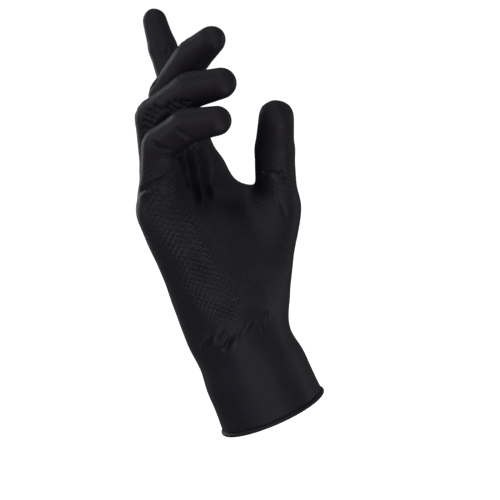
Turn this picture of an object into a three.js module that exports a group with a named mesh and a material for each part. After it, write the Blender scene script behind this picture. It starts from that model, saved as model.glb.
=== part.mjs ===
// Right-hand nitrile exam glove, held in its filled shape with loosely curled fingers.
// Lengths are in millimetres and angles in degrees.
// Part frame: the origin is the centre of the cuff's mouth, +Z runs up the cuff to the fingers,
// +X points to the thumb side and the palm faces -Y.
// Upper frame: its origin is the wrist, and its axes are the part's axes leant over by the wrist's bend.
// The film is one dipped piece: an outer face, an inner face one wall thickness further in,
// and a rolled bead that joins the two round the mouth.

import * as THREE from 'three';

// Film and bead
const wallThickness = 1.0;
const beadRadius = 1.1;
const beadStandOff = -0.1;
const beadArcSteps = 7;

// Cuff, from the mouth to the wrist
const cuffLength = 54.7;
const wristLean = 7.9;
const wristLeanToward = 37.2;
const cuffBlend = 14;

// Centre line and half depth of the cuff tube; width is depth times ovalness.
const sleeveRows = [
  { height: 0, centreX: 0, centreY: 0, halfDepth: 26.6, ovalness: 1.12 },
  { height: 24, centreX: -0.4, centreY: 0.4, halfDepth: 25.3, ovalness: 1.12 },
  { height: 46, centreX: -0.9, centreY: 1, halfDepth: 23.2, ovalness: 1.12 },
  { height: 72, centreX: -1.2, centreY: 2.8, halfDepth: 17.8, ovalness: 1.16 },
];

// Fingers in the upper frame: the knuckle's centre, the lengths of the three segments, the last one
// to the fingertip's outside, the sideways splay, the bend at each joint, the radius at each station
// and the height of the web along the first segment.
const fingerRows = [
  {
    name: 'little', x: -32.4, y: -3.4, z: 71, proximal: 37, middle: 22, distal: 26.6,
    splay: -5.0, bendKnuckle: 32.6, bendMiddle: 49.5, bendTip: 20.5,
    radiusKnuckle: 9.5, radiusMiddle: 9.3, radiusDistal: 9.2, radiusTip: 7.7, webReach: 17,
  },
  {
    name: 'ring', x: -14.6, y: 3.7, z: 79, proximal: 44.0, middle: 30.5, distal: 28.3,
    splay: -9.0, bendKnuckle: 25.6, bendMiddle: 56.5, bendTip: 18.5,
    radiusKnuckle: 10.2, radiusMiddle: 9.6, radiusDistal: 9.7, radiusTip: 8.2, webReach: 19,
  },
  {
    name: 'middle', x: 5.9, y: 4.3, z: 85, proximal: 47, middle: 29.5, distal: 24.8,
    splay: -9.0, bendKnuckle: 22.9, bendMiddle: 43.2, bendTip: 11.3,
    radiusKnuckle: 10.0, radiusMiddle: 9.4, radiusDistal: 9.5, radiusTip: 7.6, webReach: 20,
  },
  {
    name: 'index', x: 25, y: 1, z: 86, proximal: 45, middle: 26.5, distal: 24.6,
    splay: 11.9, bendKnuckle: -4.1, bendMiddle: 0.2, bendTip: 1.8,
    radiusKnuckle: 9.3, radiusMiddle: 8.7, radiusDistal: 8.1, radiusTip: 6.8, webReach: 19,
  },
];

// Thumb in the upper frame: its root, then for each segment the length, the lean to the thumb side,
// the lean to the palm side and the radius at the segment's start.
const thumbRoot = [21, -11, 10];
const thumbRows = [
  { length: 46, leanOut: 17.9, leanPalm: 24.0, radius: 11.0 },
  { length: 36, leanOut: -19.5, leanPalm: 33.2, radius: 11.7 },
  { length: 31.8, leanOut: -28.6, leanPalm: 39.6, radius: 10.8 },
];
const thumbTipRadius = 9.6;

// Palm and back: tapered rods in the upper frame that the film is drawn round
const palmRows = [
  { x0: 8, y0: 3, z0: 5, r0: 11.0, x1: 25, y1: 1, z1: 84, r1: 10.8 },
  { x0: 3, y0: 4, z0: 5, r0: 11.8, x1: 4, y1: 3, z1: 84, r1: 12.4 },
  { x0: -5, y0: 4.5, z0: 5, r0: 11.8, x1: -15, y1: 2, z1: 78, r1: 12.2 },
  { x0: -12.5, y0: 3.5, z0: 5, r0: 12.8, x1: -30.5, y1: -3, z1: 70, r1: 10.5 },
  { x0: -15, y0: -4, z0: 10, r0: 14.0, x1: -29, y1: -9, z1: 58, r1: 11.0 },
  { x0: 11.5, y0: -8, z0: 12, r0: 12.6, x1: 24, y1: -16, z1: 46, r1: 14.0 },
  { x0: -2, y0: -7, z0: 14, r0: 13.0, x1: -6, y1: -9, z1: 58, r1: 11.5 },
  { x0: 6, y0: -9, z0: 20, r0: 12.0, x1: 8, y1: -8, z1: 56, r1: 11.0 },
];

// Softness of the joins between neighbouring forms
const palmBlend = 12;
const fingerRootBlend = 7;
const jointBlend = 2;
const webBlend = 3;
const webBarRadius = 6.5;
const webBarReach = 12;
const thumbWebRadius = 5.5;

// Folds in the upper frame: each runs from one point to the other along the film.
// A positive depth presses the film in and a negative depth raises it.
const foldRows = [
  { name: 'little root, back', x0: -40.4, y0: -0.5, z0: 78.8, x1: -42.2, y1: -15.8, z1: 83, depth: 0.9 },
  { name: 'little root, palm', x0: -42.2, y0: -15.8, z0: 83, x1: -35.1, y1: -23.9, z1: 85.3, depth: 0.9 },
  { name: 'palm groove, ring', x0: -1.4, y0: -11.2, z0: 83.8, x1: -12.4, y1: -17, z1: 70.3, depth: 0.9 },
  { name: 'palm ridge, high', x0: 3.6, y0: -11.1, z0: 87.4, x1: -0.2, y1: -12.5, z1: 76.9, depth: -0.9 },
  { name: 'palm ridge, low', x0: -0.2, y0: -12.5, z0: 76.9, x1: -16, y1: -20.5, z1: 62, depth: -0.8 },
  { name: 'palm groove, high', x0: 12.6, y0: -9.7, z0: 89.9, x1: 9, y1: -11.1, z1: 80.1, depth: 1 },
  { name: 'palm groove, low', x0: 9, y0: -11.1, z0: 80.1, x1: -9, y1: -19.8, z1: 64, depth: 1 },
  { name: 'thumb root', x0: 17.9, y0: -44.7, z0: 64.2, x1: 28, y1: -49.7, z1: 60.2, depth: 0.8 },
  { name: 'wrist ridge 1', x0: -31.5, y0: -2.9, z0: 0.9, x1: -27.5, y1: 11.4, z1: -8.5, depth: -0.8 },
  { name: 'wrist ridge 2', x0: -25.1, y0: -15.4, z0: -0.2, x1: -29, y1: -1.9, z1: -11.1, depth: -0.8 },
  { name: 'wrist groove 1', x0: -25.8, y0: -13.1, z0: -5, x1: -27.9, y1: -6.9, z1: -10.4, depth: 0.8 },
  { name: 'wrist ridge 3', x0: -15.3, y0: -22, z0: 2.3, x1: -24.2, y1: -14.7, z1: -5.5, depth: -0.9 },
  { name: 'wrist ridge 4', x0: -11.8, y0: -22.9, z0: 0, x1: -19.7, y1: -17.9, z1: -8.7, depth: -0.7 },
  { name: 'wrist groove 2', x0: -8.5, y0: -23.9, z0: 1.3, x1: -12.7, y1: -22.2, z1: -4.3, depth: 0.8 },
  { name: 'wrist groove 3', x0: -4.3, y0: -24.1, z0: -5.7, x1: -11.2, y1: -22, z1: -10.1, depth: 0.8 },
];
const foldWidth = 2.8;

// Creases across the palm side of each finger joint
const creaseDepth = 0.8;
const creaseWidth = 2.8;
const creaseSpread = 0.6;

// Fineness of the outer face
const projectPasses = 4;
const slopeStep = 0.05;
const relaxPasses = 4;
const relaxShare = 0.5;
const cuffRowCount = 5;
const heelRowCount = 4;
const knuckleRowCount = 4;
const fingerRingCount = 9;
const thumbRingCount = 7;
const tipRingShare = 0.6;

const toRadians = Math.PI / 180;

function add(a, b) {
  return [a[0] + b[0], a[1] + b[1], a[2] + b[2]];
}

function subtract(a, b) {
  return [a[0] - b[0], a[1] - b[1], a[2] - b[2]];
}

function scale(a, factor) {
  return [a[0] * factor, a[1] * factor, a[2] * factor];
}

function dot(a, b) {
  return a[0] * b[0] + a[1] * b[1] + a[2] * b[2];
}

function cross(a, b) {
  return [a[1] * b[2] - a[2] * b[1], a[2] * b[0] - a[0] * b[2], a[0] * b[1] - a[1] * b[0]];
}

function unit(a) {
  return scale(a, 1 / Math.sqrt(dot(a, a)));
}

function mix(a, b, share) {
  return add(scale(a, 1 - share), scale(b, share));
}

function clamp(value, low, high) {
  return Math.min(high, Math.max(low, value));
}

// Change of frame by the wrist's lean
const leanAxis = [-Math.sin(wristLeanToward * toRadians), Math.cos(wristLeanToward * toRadians), 0];

function rotateAbout(axis, angle, point) {
  const along = scale(axis, dot(axis, point) * (1 - Math.cos(angle)));
  const across = scale(cross(axis, point), Math.sin(angle));
  return add(add(scale(point, Math.cos(angle)), across), along);
}

function upperToPart(point) {
  return add(rotateAbout(leanAxis, wristLean * toRadians, point), [0, 0, cuffLength]);
}

function partToUpper(point) {
  return rotateAbout(leanAxis, -wristLean * toRadians, subtract(point, [0, 0, cuffLength]));
}

// Signed distances: negative inside the form
function smoothMin(a, b, softness) {
  const reach = Math.max(softness - Math.abs(a - b), 0) / softness;
  return Math.min(a, b) - reach * reach * softness * 0.25;
}

function rodDistance(point, start, end, radiusStart, radiusEnd, lowest) {
  const axis = subtract(end, start);
  const share = clamp(dot(subtract(point, start), axis) / dot(axis, axis), lowest, 1);
  const away = subtract(point, mix(start, end, share));
  return Math.sqrt(dot(away, away)) - (radiusStart + (radiusEnd - radiusStart) * share);
}

function edgeDistanceSquared(point, start, end) {
  const axis = subtract(end, start);
  const share = clamp(dot(subtract(point, start), axis) / dot(axis, axis), 0, 1);
  const away = subtract(point, mix(start, end, share));
  return dot(away, away);
}

function sheetDistance(point, corners, radius) {
  const normal = cross(subtract(corners[1], corners[0]), subtract(corners[2], corners[0]));
  let inside = 0;
  let nearest = Infinity;
  for (let i = 0; i < 3; i += 1) {
    const start = corners[i];
    const end = corners[(i + 1) % 3];
    if (dot(subtract(point, start), cross(subtract(end, start), normal)) < 0) {
      inside += 1;
    }
    nearest = Math.min(nearest, edgeDistanceSquared(point, start, end));
  }
  if (inside === 3) {
    const height = dot(subtract(point, corners[0]), normal);
    nearest = (height * height) / dot(normal, normal);
  }
  return Math.sqrt(nearest) - radius;
}

// Joint centres and hinge side of each finger
function fingerChain(row) {
  const turn = row.splay * toRadians;
  const side = [Math.cos(turn), 0, -Math.sin(turn)];
  const forward = [Math.sin(turn), 0, Math.cos(turn)];
  const joints = [[row.x, row.y, row.z]];
  const segments = [
    { length: row.proximal, bend: row.bendKnuckle },
    { length: row.middle, bend: row.bendMiddle },
    { length: row.distal, bend: row.bendTip },
  ];
  let bent = 0;
  for (const segment of segments) {
    bent += segment.bend * toRadians;
    const direction = add(scale(forward, Math.cos(bent)), [0, -Math.sin(bent), 0]);
    joints.push(add(joints[joints.length - 1], scale(direction, segment.length)));
  }
  const radii = [row.radiusKnuckle, row.radiusMiddle, row.radiusDistal, row.radiusTip];
  return { name: row.name, joints, side, radii, webReach: row.webReach };
}

function thumbChain() {
  const joints = [thumbRoot];
  for (const row of thumbRows) {
    const out = row.leanOut * toRadians;
    const palm = row.leanPalm * toRadians;
    const direction = [
      Math.sin(out) * Math.cos(palm),
      -Math.sin(palm),
      Math.cos(out) * Math.cos(palm),
    ];
    joints.push(add(joints[joints.length - 1], scale(direction, row.length)));
  }
  return joints;
}

const fingers = fingerRows.map(fingerChain);
const thumbJoints = thumbChain();
const indexKnuckle = fingers[3].joints[0];

function chainDistance(point, joints, radii) {
  let distance = Infinity;
  for (let i = 0; i + 1 < joints.length; i += 1) {
    const last = i + 2 === joints.length;
    const direction = unit(subtract(joints[i + 1], joints[i]));
    const end = last ? subtract(joints[i + 1], scale(direction, radii[i + 1])) : joints[i + 1];
    const rod = rodDistance(point, joints[i], end, radii[i], radii[i + 1], 0);
    distance = i === 0 ? rod : smoothMin(distance, rod, jointBlend);
  }
  return distance;
}

function webPoint(finger, reach) {
  return add(finger.joints[0], scale(unit(subtract(finger.joints[1], finger.joints[0])), reach));
}

const thumbWebCorners = [
  add(thumbJoints[1], [-3, 3, -9]),
  add(indexKnuckle, [-2, -2, -10]),
  [8, -4, 34],
];

function palmDistance(point) {
  let distance = Infinity;
  for (const row of palmRows) {
    const start = [row.x0, row.y0, row.z0];
    const end = [row.x1, row.y1, row.z1];
    const rod = rodDistance(point, start, end, row.r0, row.r1, 0);
    distance = distance === Infinity ? rod : smoothMin(distance, rod, palmBlend);
  }
  for (let k = 0; k < 3; k += 1) {
    const start = webPoint(fingers[k], webBarReach);
    const end = webPoint(fingers[k + 1], webBarReach);
    distance = smoothMin(distance, rodDistance(point, start, end, webBarRadius, webBarRadius, 0), webBlend);
  }
  const ball = rodDistance(point, thumbRoot, thumbJoints[1], thumbRows[0].radius, thumbRows[1].radius, 0);
  distance = smoothMin(distance, ball, palmBlend);
  return smoothMin(distance, sheetDistance(point, thumbWebCorners, thumbWebRadius), palmBlend);
}

function digitDistance(point, digit) {
  if (digit < 4) {
    return chainDistance(point, fingers[digit].joints, fingers[digit].radii);
  }
  const radii = [thumbRows[1].radius, thumbRows[2].radius, thumbTipRadius];
  return chainDistance(point, thumbJoints.slice(1), radii);
}

function sleeveDistance(point) {
  let distance = Infinity;
  for (let i = 0; i + 1 < sleeveRows.length; i += 1) {
    const low = sleeveRows[i];
    const high = sleeveRows[i + 1];
    const squeezed = [point[0] / low.ovalness, point[1], point[2]];
    const start = [low.centreX / low.ovalness, low.centreY, low.height];
    const end = [high.centreX / low.ovalness, high.centreY, high.height];
    const rod = rodDistance(squeezed, start, end, low.halfDepth, high.halfDepth, i === 0 ? -1 : 0);
    distance = i === 0 ? rod : smoothMin(distance, rod, jointBlend);
  }
  return distance;
}

// Straight folds from the table, and one crease on the palm side of every finger joint
const folds = foldRows.map((row) => ({
  start: [row.x0, row.y0, row.z0],
  end: [row.x1, row.y1, row.z1],
  depth: row.depth,
  width: foldWidth,
}));
for (const finger of fingers) {
  for (let i = 1; i < 3; i += 1) {
    const before = unit(subtract(finger.joints[i], finger.joints[i - 1]));
    const after = unit(subtract(finger.joints[i + 1], finger.joints[i]));
    const palmSide = unit(cross(finger.side, add(before, after)));
    const middle = add(finger.joints[i], scale(palmSide, -finger.radii[i]));
    const reach = scale(finger.side, creaseSpread * finger.radii[i]);
    folds.push({
      start: subtract(middle, reach),
      end: add(middle, reach),
      depth: creaseDepth,
      width: creaseWidth,
    });
  }
}

function foldDepth(point) {
  let depth = 0;
  for (const fold of folds) {
    const away = edgeDistanceSquared(point, fold.start, fold.end) / (fold.width * fold.width);
    if (away < 9) {
      depth += fold.depth * Math.exp(-away);
    }
  }
  return depth;
}

// The outer face is where this is zero. A digit's own points see only that digit and the palm.
const allDigits = [0, 1, 2, 3, 4];

function gloveDistance(point, digits) {
  const upper = partToUpper(point);
  const palm = palmDistance(upper);
  const sleeve = sleeveDistance(point);
  let distance = Infinity;
  for (const digit of digits) {
    const joined = smoothMin(palm, digitDistance(upper, digit), fingerRootBlend);
    const whole = smoothMin(joined, sleeve, cuffBlend);
    distance = distance === Infinity ? whole : smoothMin(distance, whole, webBlend);
  }
  return distance + foldDepth(upper);
}

function gradient(point, digits) {
  const step = slopeStep;
  const slope = [0, 0, 0];
  for (let axis = 0; axis < 3; axis += 1) {
    const ahead = point.slice();
    const behind = point.slice();
    ahead[axis] += step;
    behind[axis] -= step;
    slope[axis] = (gloveDistance(ahead, digits) - gloveDistance(behind, digits)) / (2 * step);
  }
  return slope;
}

// Cage of quads: each finger takes two columns on the back and two on the palm side,
// each edge of the palm takes two more, and eight run along each digit.
const columns = 4 * fingerRows.length + 4;
const columnStep = 360 / columns;
const firstColumnAngle = 90 + 4 * columnStep;
const thumbLowShare = 0.42;
const thumbMidShare = 0.52;
const thumbHighShare = 0.62;
const rimHeight = 2 * beadRadius + wallThickness;
const thumbLoopLow = -3;
const thumbLoopHigh = 9;

const points = [];
const labels = [];
const quads = [];

function addPoint(point, digits) {
  points.push(point);
  labels.push(digits);
  return points.length - 1;
}

function ringPoint(centre, side, normal, radius, angle) {
  const turn = angle * toRadians;
  return add(centre, add(scale(side, radius * Math.cos(turn)), scale(normal, radius * Math.sin(turn))));
}

// Position and heading at a distance along a chain of joints
function chainStation(joints, radii, distance) {
  let left = distance;
  let i = 0;
  while (i + 2 < joints.length && left > lengthOf(joints, i)) {
    left -= lengthOf(joints, i);
    i += 1;
  }
  const share = left / lengthOf(joints, i);
  const radius = radii[i] + (radii[i + 1] - radii[i]) * clamp(share, 0, 1);
  return { point: mix(joints[i], joints[i + 1], share), radius };
}

function lengthOf(joints, i) {
  const segment = subtract(joints[i + 1], joints[i]);
  return Math.sqrt(dot(segment, segment));
}

function heading(joints, radii, distance) {
  const reach = radii[1];
  const ahead = chainStation(joints, radii, distance + reach).point;
  const behind = chainStation(joints, radii, distance - reach).point;
  return unit(subtract(ahead, behind));
}

const ringAngles = [135, 90, 45, 0, -45, -90, -135, 180];

// Loop at the finger roots: shared points between neighbours are averaged.
const rootSums = [];
for (let j = 0; j < columns; j += 1) {
  rootSums.push({ sum: [0, 0, 0], count: 0 });
}
const webSums = [null];
for (let k = 1; k < 4; k += 1) {
  webSums.push({ sum: [0, 0, 0], count: 0 });
}
webSums.push(null);

function rootSlots(k) {
  const outer = k === 3 ? rootSums[9] : webSums[k + 1];
  const inner = k === 0 ? rootSums[19] : webSums[k];
  return [
    rootSums[2 * k], rootSums[2 * k + 1], rootSums[2 * k + 2], outer,
    rootSums[16 - 2 * k], rootSums[17 - 2 * k], rootSums[18 - 2 * k], inner,
  ];
}

for (let k = 0; k < 4; k += 1) {
  const finger = fingers[k];
  const station = chainStation(finger.joints, finger.radii, finger.webReach);
  const direction = unit(subtract(finger.joints[1], finger.joints[0]));
  const normal = cross(direction, finger.side);
  const slots = rootSlots(k);
  for (let a = 0; a < 8; a += 1) {
    const place = ringPoint(station.point, finger.side, normal, station.radius, ringAngles[a]);
    slots[a].sum = add(slots[a].sum, upperToPart(place));
    slots[a].count += 1;
  }
}

function average(slot) {
  return scale(slot.sum, 1 / slot.count);
}

// Thumb's loop: its outer side looks away from the index knuckle.
const thumbRadii = [thumbRows[1].radius, thumbRows[2].radius, thumbTipRadius];
const thumbSpine = thumbJoints.slice(1);
const thumbHeading = unit(subtract(thumbSpine[1], thumbSpine[0]));

function thumbOuter(direction) {
  const away = subtract(thumbSpine[0], indexKnuckle);
  return unit(subtract(away, scale(direction, dot(away, direction))));
}

function thumbRingPoint(centre, direction, radius, angle) {
  const outer = thumbOuter(direction);
  return ringPoint(centre, outer, cross(direction, outer), radius, angle);
}

function thumbLoopPoint(angle) {
  const rise = thumbLoopLow + (thumbLoopHigh - thumbLoopLow) * (1 - Math.cos(angle * toRadians)) * 0.5;
  const centre = add(thumbSpine[0], scale(thumbHeading, rise));
  return upperToPart(thumbRingPoint(centre, thumbHeading, thumbRadii[0], angle));
}

// Cuff and palm rows
function sleevePoint(height, j) {
  const angle = (firstColumnAngle - columnStep * j) * toRadians;
  const low = sleeveRows[0];
  const high = sleeveRows[1];
  const share = height / high.height;
  const depth = low.halfDepth + (high.halfDepth - low.halfDepth) * share;
  return [depth * low.ovalness * Math.cos(angle), depth * Math.sin(angle), height];
}

const rootRing = rootSums.map(average);
const wristRing = [];
for (let j = 0; j < columns; j += 1) {
  wristRing.push(sleevePoint(cuffLength, j));
}

const thumbColumnAngles = {
  9: [45, 90, 135],
  10: [0, null, 180],
  11: [-45, -90, -135],
};

function palmPoint(share, j) {
  const angles = thumbColumnAngles[j];
  if (!angles) {
    return mix(wristRing[j], rootRing[j], share);
  }
  const low = thumbLoopPoint(angles[0]);
  const high = thumbLoopPoint(angles[2]);
  if (share <= thumbLowShare) {
    return mix(wristRing[j], low, share / thumbLowShare);
  }
  if (share < thumbHighShare) {
    return angles[1] === null ? null : thumbLoopPoint(angles[1]);
  }
  return mix(high, rootRing[j], (share - thumbHighShare) / (1 - thumbHighShare));
}

const palmShares = [];
for (let i = 0; i <= heelRowCount; i += 1) {
  palmShares.push((thumbLowShare * i) / heelRowCount);
}
palmShares.push(thumbMidShare);
for (let i = 0; i <= knuckleRowCount; i += 1) {
  palmShares.push(thumbHighShare + ((1 - thumbHighShare) * i) / knuckleRowCount);
}

const rows = [];
for (let i = 0; i < cuffRowCount; i += 1) {
  const height = rimHeight + ((cuffLength - rimHeight) * i) / cuffRowCount;
  const row = [];
  for (let j = 0; j < columns; j += 1) {
    row.push(addPoint(sleevePoint(height, j), allDigits));
  }
  rows.push(row);
}
for (const share of palmShares) {
  const row = [];
  for (let j = 0; j < columns; j += 1) {
    const place = palmPoint(share, j);
    row.push(place === null ? -1 : addPoint(place, allDigits));
  }
  rows.push(row);
}
for (let i = 0; i + 1 < rows.length; i += 1) {
  for (let j = 0; j < columns; j += 1) {
    const next = (j + 1) % columns;
    const quad = [rows[i][j], rows[i + 1][j], rows[i + 1][next], rows[i][next]];
    if (!quad.includes(-1)) {
      quads.push(quad);
    }
  }
}

// Digits: rings of eight along each chain and a four-quad cap
function addDigit(loop, ringAt, stations, tip, digit) {
  let previous = loop;
  for (const distance of stations) {
    const ring = [];
    for (let a = 0; a < 8; a += 1) {
      ring.push(addPoint(upperToPart(ringAt(distance, a)), [digit]));
    }
    for (let a = 0; a < 8; a += 1) {
      const next = (a + 1) % 8;
      quads.push([previous[a], ring[a], ring[next], previous[next]]);
    }
    previous = ring;
  }
  const top = addPoint(upperToPart(tip), [digit]);
  for (let a = 0; a < 8; a += 2) {
    quads.push([previous[a], top, previous[(a + 2) % 8], previous[a + 1]]);
  }
}

function stationsBetween(first, last, count) {
  const result = [];
  for (let i = 1; i <= count; i += 1) {
    result.push(first + ((last - first) * i) / count);
  }
  return result;
}

const webIndices = webSums.map((slot) => (slot ? addPoint(average(slot), allDigits) : -1));
const rootRow = rows[rows.length - 1];
for (let k = 0; k < 4; k += 1) {
  const finger = fingers[k];
  const outer = k === 3 ? rootRow[9] : webIndices[k + 1];
  const inner = k === 0 ? rootRow[19] : webIndices[k];
  const loop = [
    rootRow[2 * k], rootRow[2 * k + 1], rootRow[2 * k + 2], outer,
    rootRow[16 - 2 * k], rootRow[17 - 2 * k], rootRow[18 - 2 * k], inner,
  ];
  const total = lengthOf(finger.joints, 0) + lengthOf(finger.joints, 1) + lengthOf(finger.joints, 2);
  const lastRing = total - finger.radii[3] * tipRingShare;
  const stations = stationsBetween(finger.webReach, lastRing, fingerRingCount);
  const ringAt = (distance, a) => {
    const station = chainStation(finger.joints, finger.radii, distance);
    const direction = heading(finger.joints, finger.radii, distance);
    const side = unit(subtract(finger.side, scale(direction, dot(finger.side, direction))));
    return ringPoint(station.point, side, cross(direction, side), station.radius, ringAngles[a]);
  };
  addDigit(loop, ringAt, stations, finger.joints[3], k);
}

const lowRow = rows[cuffRowCount + heelRowCount];
const midRow = rows[cuffRowCount + heelRowCount + 1];
const highRow = rows[cuffRowCount + heelRowCount + 2];
const thumbLoop = [
  lowRow[10], lowRow[11], midRow[11], highRow[11], highRow[10], highRow[9], midRow[9], lowRow[9],
];
const thumbLength = lengthOf(thumbSpine, 0) + lengthOf(thumbSpine, 1);
const thumbLastRing = thumbLength - thumbTipRadius * tipRingShare;
const thumbStations = stationsBetween(thumbLoopHigh, thumbLastRing, thumbRingCount);
addDigit(thumbLoop, (distance, a) => {
  const station = chainStation(thumbSpine, thumbRadii, distance);
  const direction = heading(thumbSpine, thumbRadii, distance);
  return thumbRingPoint(station.point, direction, station.radius, -45 * a);
}, thumbStations, thumbSpine[2], 4);

// Each quad is cut in four; the new points take the digit of their corners.
function joinLabels(corners) {
  const own = corners.find((corner) => labels[corner].length === 1);
  return own === undefined ? allDigits : labels[own];
}

function subdivide(faces) {
  const edgePoints = new Map();
  const finer = [];
  const middle = (corners) => {
    const sum = corners.reduce((total, corner) => add(total, points[corner]), [0, 0, 0]);
    return addPoint(scale(sum, 1 / corners.length), joinLabels(corners));
  };
  const edge = (a, b) => {
    const key = Math.min(a, b) + ' ' + Math.max(a, b);
    if (!edgePoints.has(key)) {
      edgePoints.set(key, middle([a, b]));
    }
    return edgePoints.get(key);
  };
  for (const face of faces) {
    const centre = middle(face);
    for (let i = 0; i < 4; i += 1) {
      const before = face[(i + 3) % 4];
      const after = face[(i + 1) % 4];
      finer.push([face[i], edge(face[i], after), centre, edge(before, face[i])]);
    }
  }
  return finer;
}

function project(index, onRim) {
  let point = points[index];
  for (let pass = 0; pass < projectPasses; pass += 1) {
    const slope = gradient(point, labels[index]);
    if (onRim) {
      slope[2] = 0;
    }
    const size = Math.max(dot(slope, slope), 0.2);
    point = subtract(point, scale(slope, gloveDistance(point, labels[index]) / size));
  }
  points[index] = point;
}

function projectAll() {
  for (let i = 0; i < points.length; i += 1) {
    project(i, rim.has(i));
  }
}

function relax(faces, share) {
  const sums = points.map(() => ({ sum: [0, 0, 0], count: 0 }));
  for (const face of faces) {
    for (let i = 0; i < 4; i += 1) {
      const slot = sums[face[i]];
      slot.sum = add(slot.sum, add(points[face[(i + 1) % 4]], points[face[(i + 3) % 4]]));
      slot.count += 2;
    }
  }
  for (let i = 0; i < points.length; i += 1) {
    if (!rim.has(i)) {
      points[i] = mix(points[i], average(sums[i]), share);
    }
  }
}

const rim = new Set(rows[0]);
projectAll();
for (let pass = 0; pass < 2 * relaxPasses; pass += 1) {
  relax(quads, relaxShare);
  projectAll();
}
const fineQuads = subdivide(quads);
for (let i = 0; i < points.length; i += 1) {
  if (Math.abs(points[i][2] - rimHeight) < 1e-6) {
    rim.add(i);
  }
}
projectAll();
for (let pass = 0; pass < relaxPasses; pass += 1) {
  relax(fineQuads, relaxShare);
  projectAll();
}

// Inner face: every outer point moved in along its own normal
function vertexNormals(faces) {
  const normals = points.map(() => [0, 0, 0]);
  for (const face of faces) {
    const diagonalA = subtract(points[face[2]], points[face[0]]);
    const diagonalB = subtract(points[face[3]], points[face[1]]);
    const normal = unit(cross(diagonalA, diagonalB));
    for (const corner of face) {
      normals[corner] = add(normals[corner], normal);
    }
  }
  return normals.map(unit);
}

let volume = 0;
for (const face of fineQuads) {
  volume += dot(points[face[0]], cross(points[face[1]], points[face[2]]));
  volume += dot(points[face[0]], cross(points[face[2]], points[face[3]]));
}
const outward = volume > 0 ? fineQuads : fineQuads.map((face) => face.slice().reverse());
const normals = vertexNormals(outward);
const outerCount = points.length;
const bodyPoints = points.slice();
for (let i = 0; i < outerCount; i += 1) {
  const inward = normals[i].slice();
  if (rim.has(i)) {
    inward[2] = 0;
  }
  bodyPoints.push(subtract(points[i], scale(unit(inward), wallThickness)));
}

const triangles = [];
function addQuad(a, b, c, d) {
  triangles.push([a, b, c], [a, c, d]);
}
for (const face of outward) {
  const oneWay = subtract(points[face[2]], points[face[0]]);
  const otherWay = subtract(points[face[3]], points[face[1]]);
  const shorter = dot(oneWay, oneWay) <= dot(otherWay, otherWay);
  const turned = shorter ? face : [face[1], face[2], face[3], face[0]];
  addQuad(turned[0], turned[1], turned[2], turned[3]);
  const inner = turned.map((corner) => corner + outerCount);
  addQuad(inner[0], inner[3], inner[2], inner[1]);
}

// Rolled bead: an arc swept round the mouth from the outer face down to the inner face
const rimNext = new Map();
for (const face of outward) {
  for (let i = 0; i < 4; i += 1) {
    const after = face[(i + 1) % 4];
    if (rim.has(face[i]) && rim.has(after)) {
      rimNext.set(after, face[i]);
    }
  }
}
const beadFirstAngle = 100;
const beadLastAngle = -150;
const beadPoints = new Map();
for (const index of rim) {
  const out = unit([normals[index][0], normals[index][1], 0]);
  const chain = [index];
  for (let i = 0; i <= beadArcSteps; i += 1) {
    const angle = (beadFirstAngle + ((beadLastAngle - beadFirstAngle) * i) / beadArcSteps) * toRadians;
    const shift = beadStandOff + beadRadius * Math.cos(angle);
    const place = add(points[index], scale(out, shift));
    place[2] = beadRadius + beadRadius * Math.sin(angle);
    bodyPoints.push(place);
    chain.push(bodyPoints.length - 1);
  }
  chain.push(index + outerCount);
  beadPoints.set(index, chain);
}
for (const [index, next] of rimNext) {
  const here = beadPoints.get(index);
  const there = beadPoints.get(next);
  for (let i = 0; i + 1 < here.length; i += 1) {
    addQuad(here[i], there[i], there[i + 1], here[i + 1]);
  }
}

const geometry = new THREE.BufferGeometry();
geometry.setAttribute('position', new THREE.Float32BufferAttribute(bodyPoints.flat(), 3));
geometry.setIndex(triangles.flat());
geometry.computeVertexNormals();

const nitrile = new THREE.MeshStandardMaterial({ color: 0x1f1e22, roughness: 0.5, metalness: 0 });
const glove = new THREE.Mesh(geometry, nitrile);
glove.name = 'glove';

const group = new THREE.Group();
group.name = 'nitrile_exam_glove';
group.add(glove);

export default group;
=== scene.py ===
import math

import bpy
import numpy as np
from mathutils import Matrix, Vector


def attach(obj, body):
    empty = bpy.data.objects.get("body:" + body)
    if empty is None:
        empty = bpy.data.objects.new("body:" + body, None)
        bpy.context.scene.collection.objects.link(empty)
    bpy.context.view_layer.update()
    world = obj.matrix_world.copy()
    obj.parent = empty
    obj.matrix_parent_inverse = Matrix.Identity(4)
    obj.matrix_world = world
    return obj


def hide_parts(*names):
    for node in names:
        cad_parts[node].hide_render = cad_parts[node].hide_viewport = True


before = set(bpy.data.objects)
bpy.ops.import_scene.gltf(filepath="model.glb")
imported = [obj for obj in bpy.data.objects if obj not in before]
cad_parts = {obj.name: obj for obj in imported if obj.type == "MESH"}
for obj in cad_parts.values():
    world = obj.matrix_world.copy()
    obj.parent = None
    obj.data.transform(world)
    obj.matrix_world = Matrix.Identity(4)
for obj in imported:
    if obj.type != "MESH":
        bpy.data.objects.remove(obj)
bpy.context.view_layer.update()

# Sizes in millimetres: the CAD part's own, with a slightly fuller bead
WALL = 1.0
BEAD_RADIUS = 1.15
BEAD_STAND_OFF = 0.1
BEAD_STEPS = 14
RIM_HEIGHT = 3.2
CUFF_LENGTH = 54.7
WRIST_LEAN = 7.9
WRIST_LEAN_TOWARD = 37.2
CUFF_BLEND = 14.0
PALM_BLEND = 12.0
ROOT_BLEND = 7.0
JOINT_BLEND = 2.0
WEB_BLEND = 3.0
WEB_BAR_RADIUS = 6.5
WEB_BAR_REACH = 12.0
THUMB_WEB_RADIUS = 5.5
THUMB_LOOP = 9.0

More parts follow.
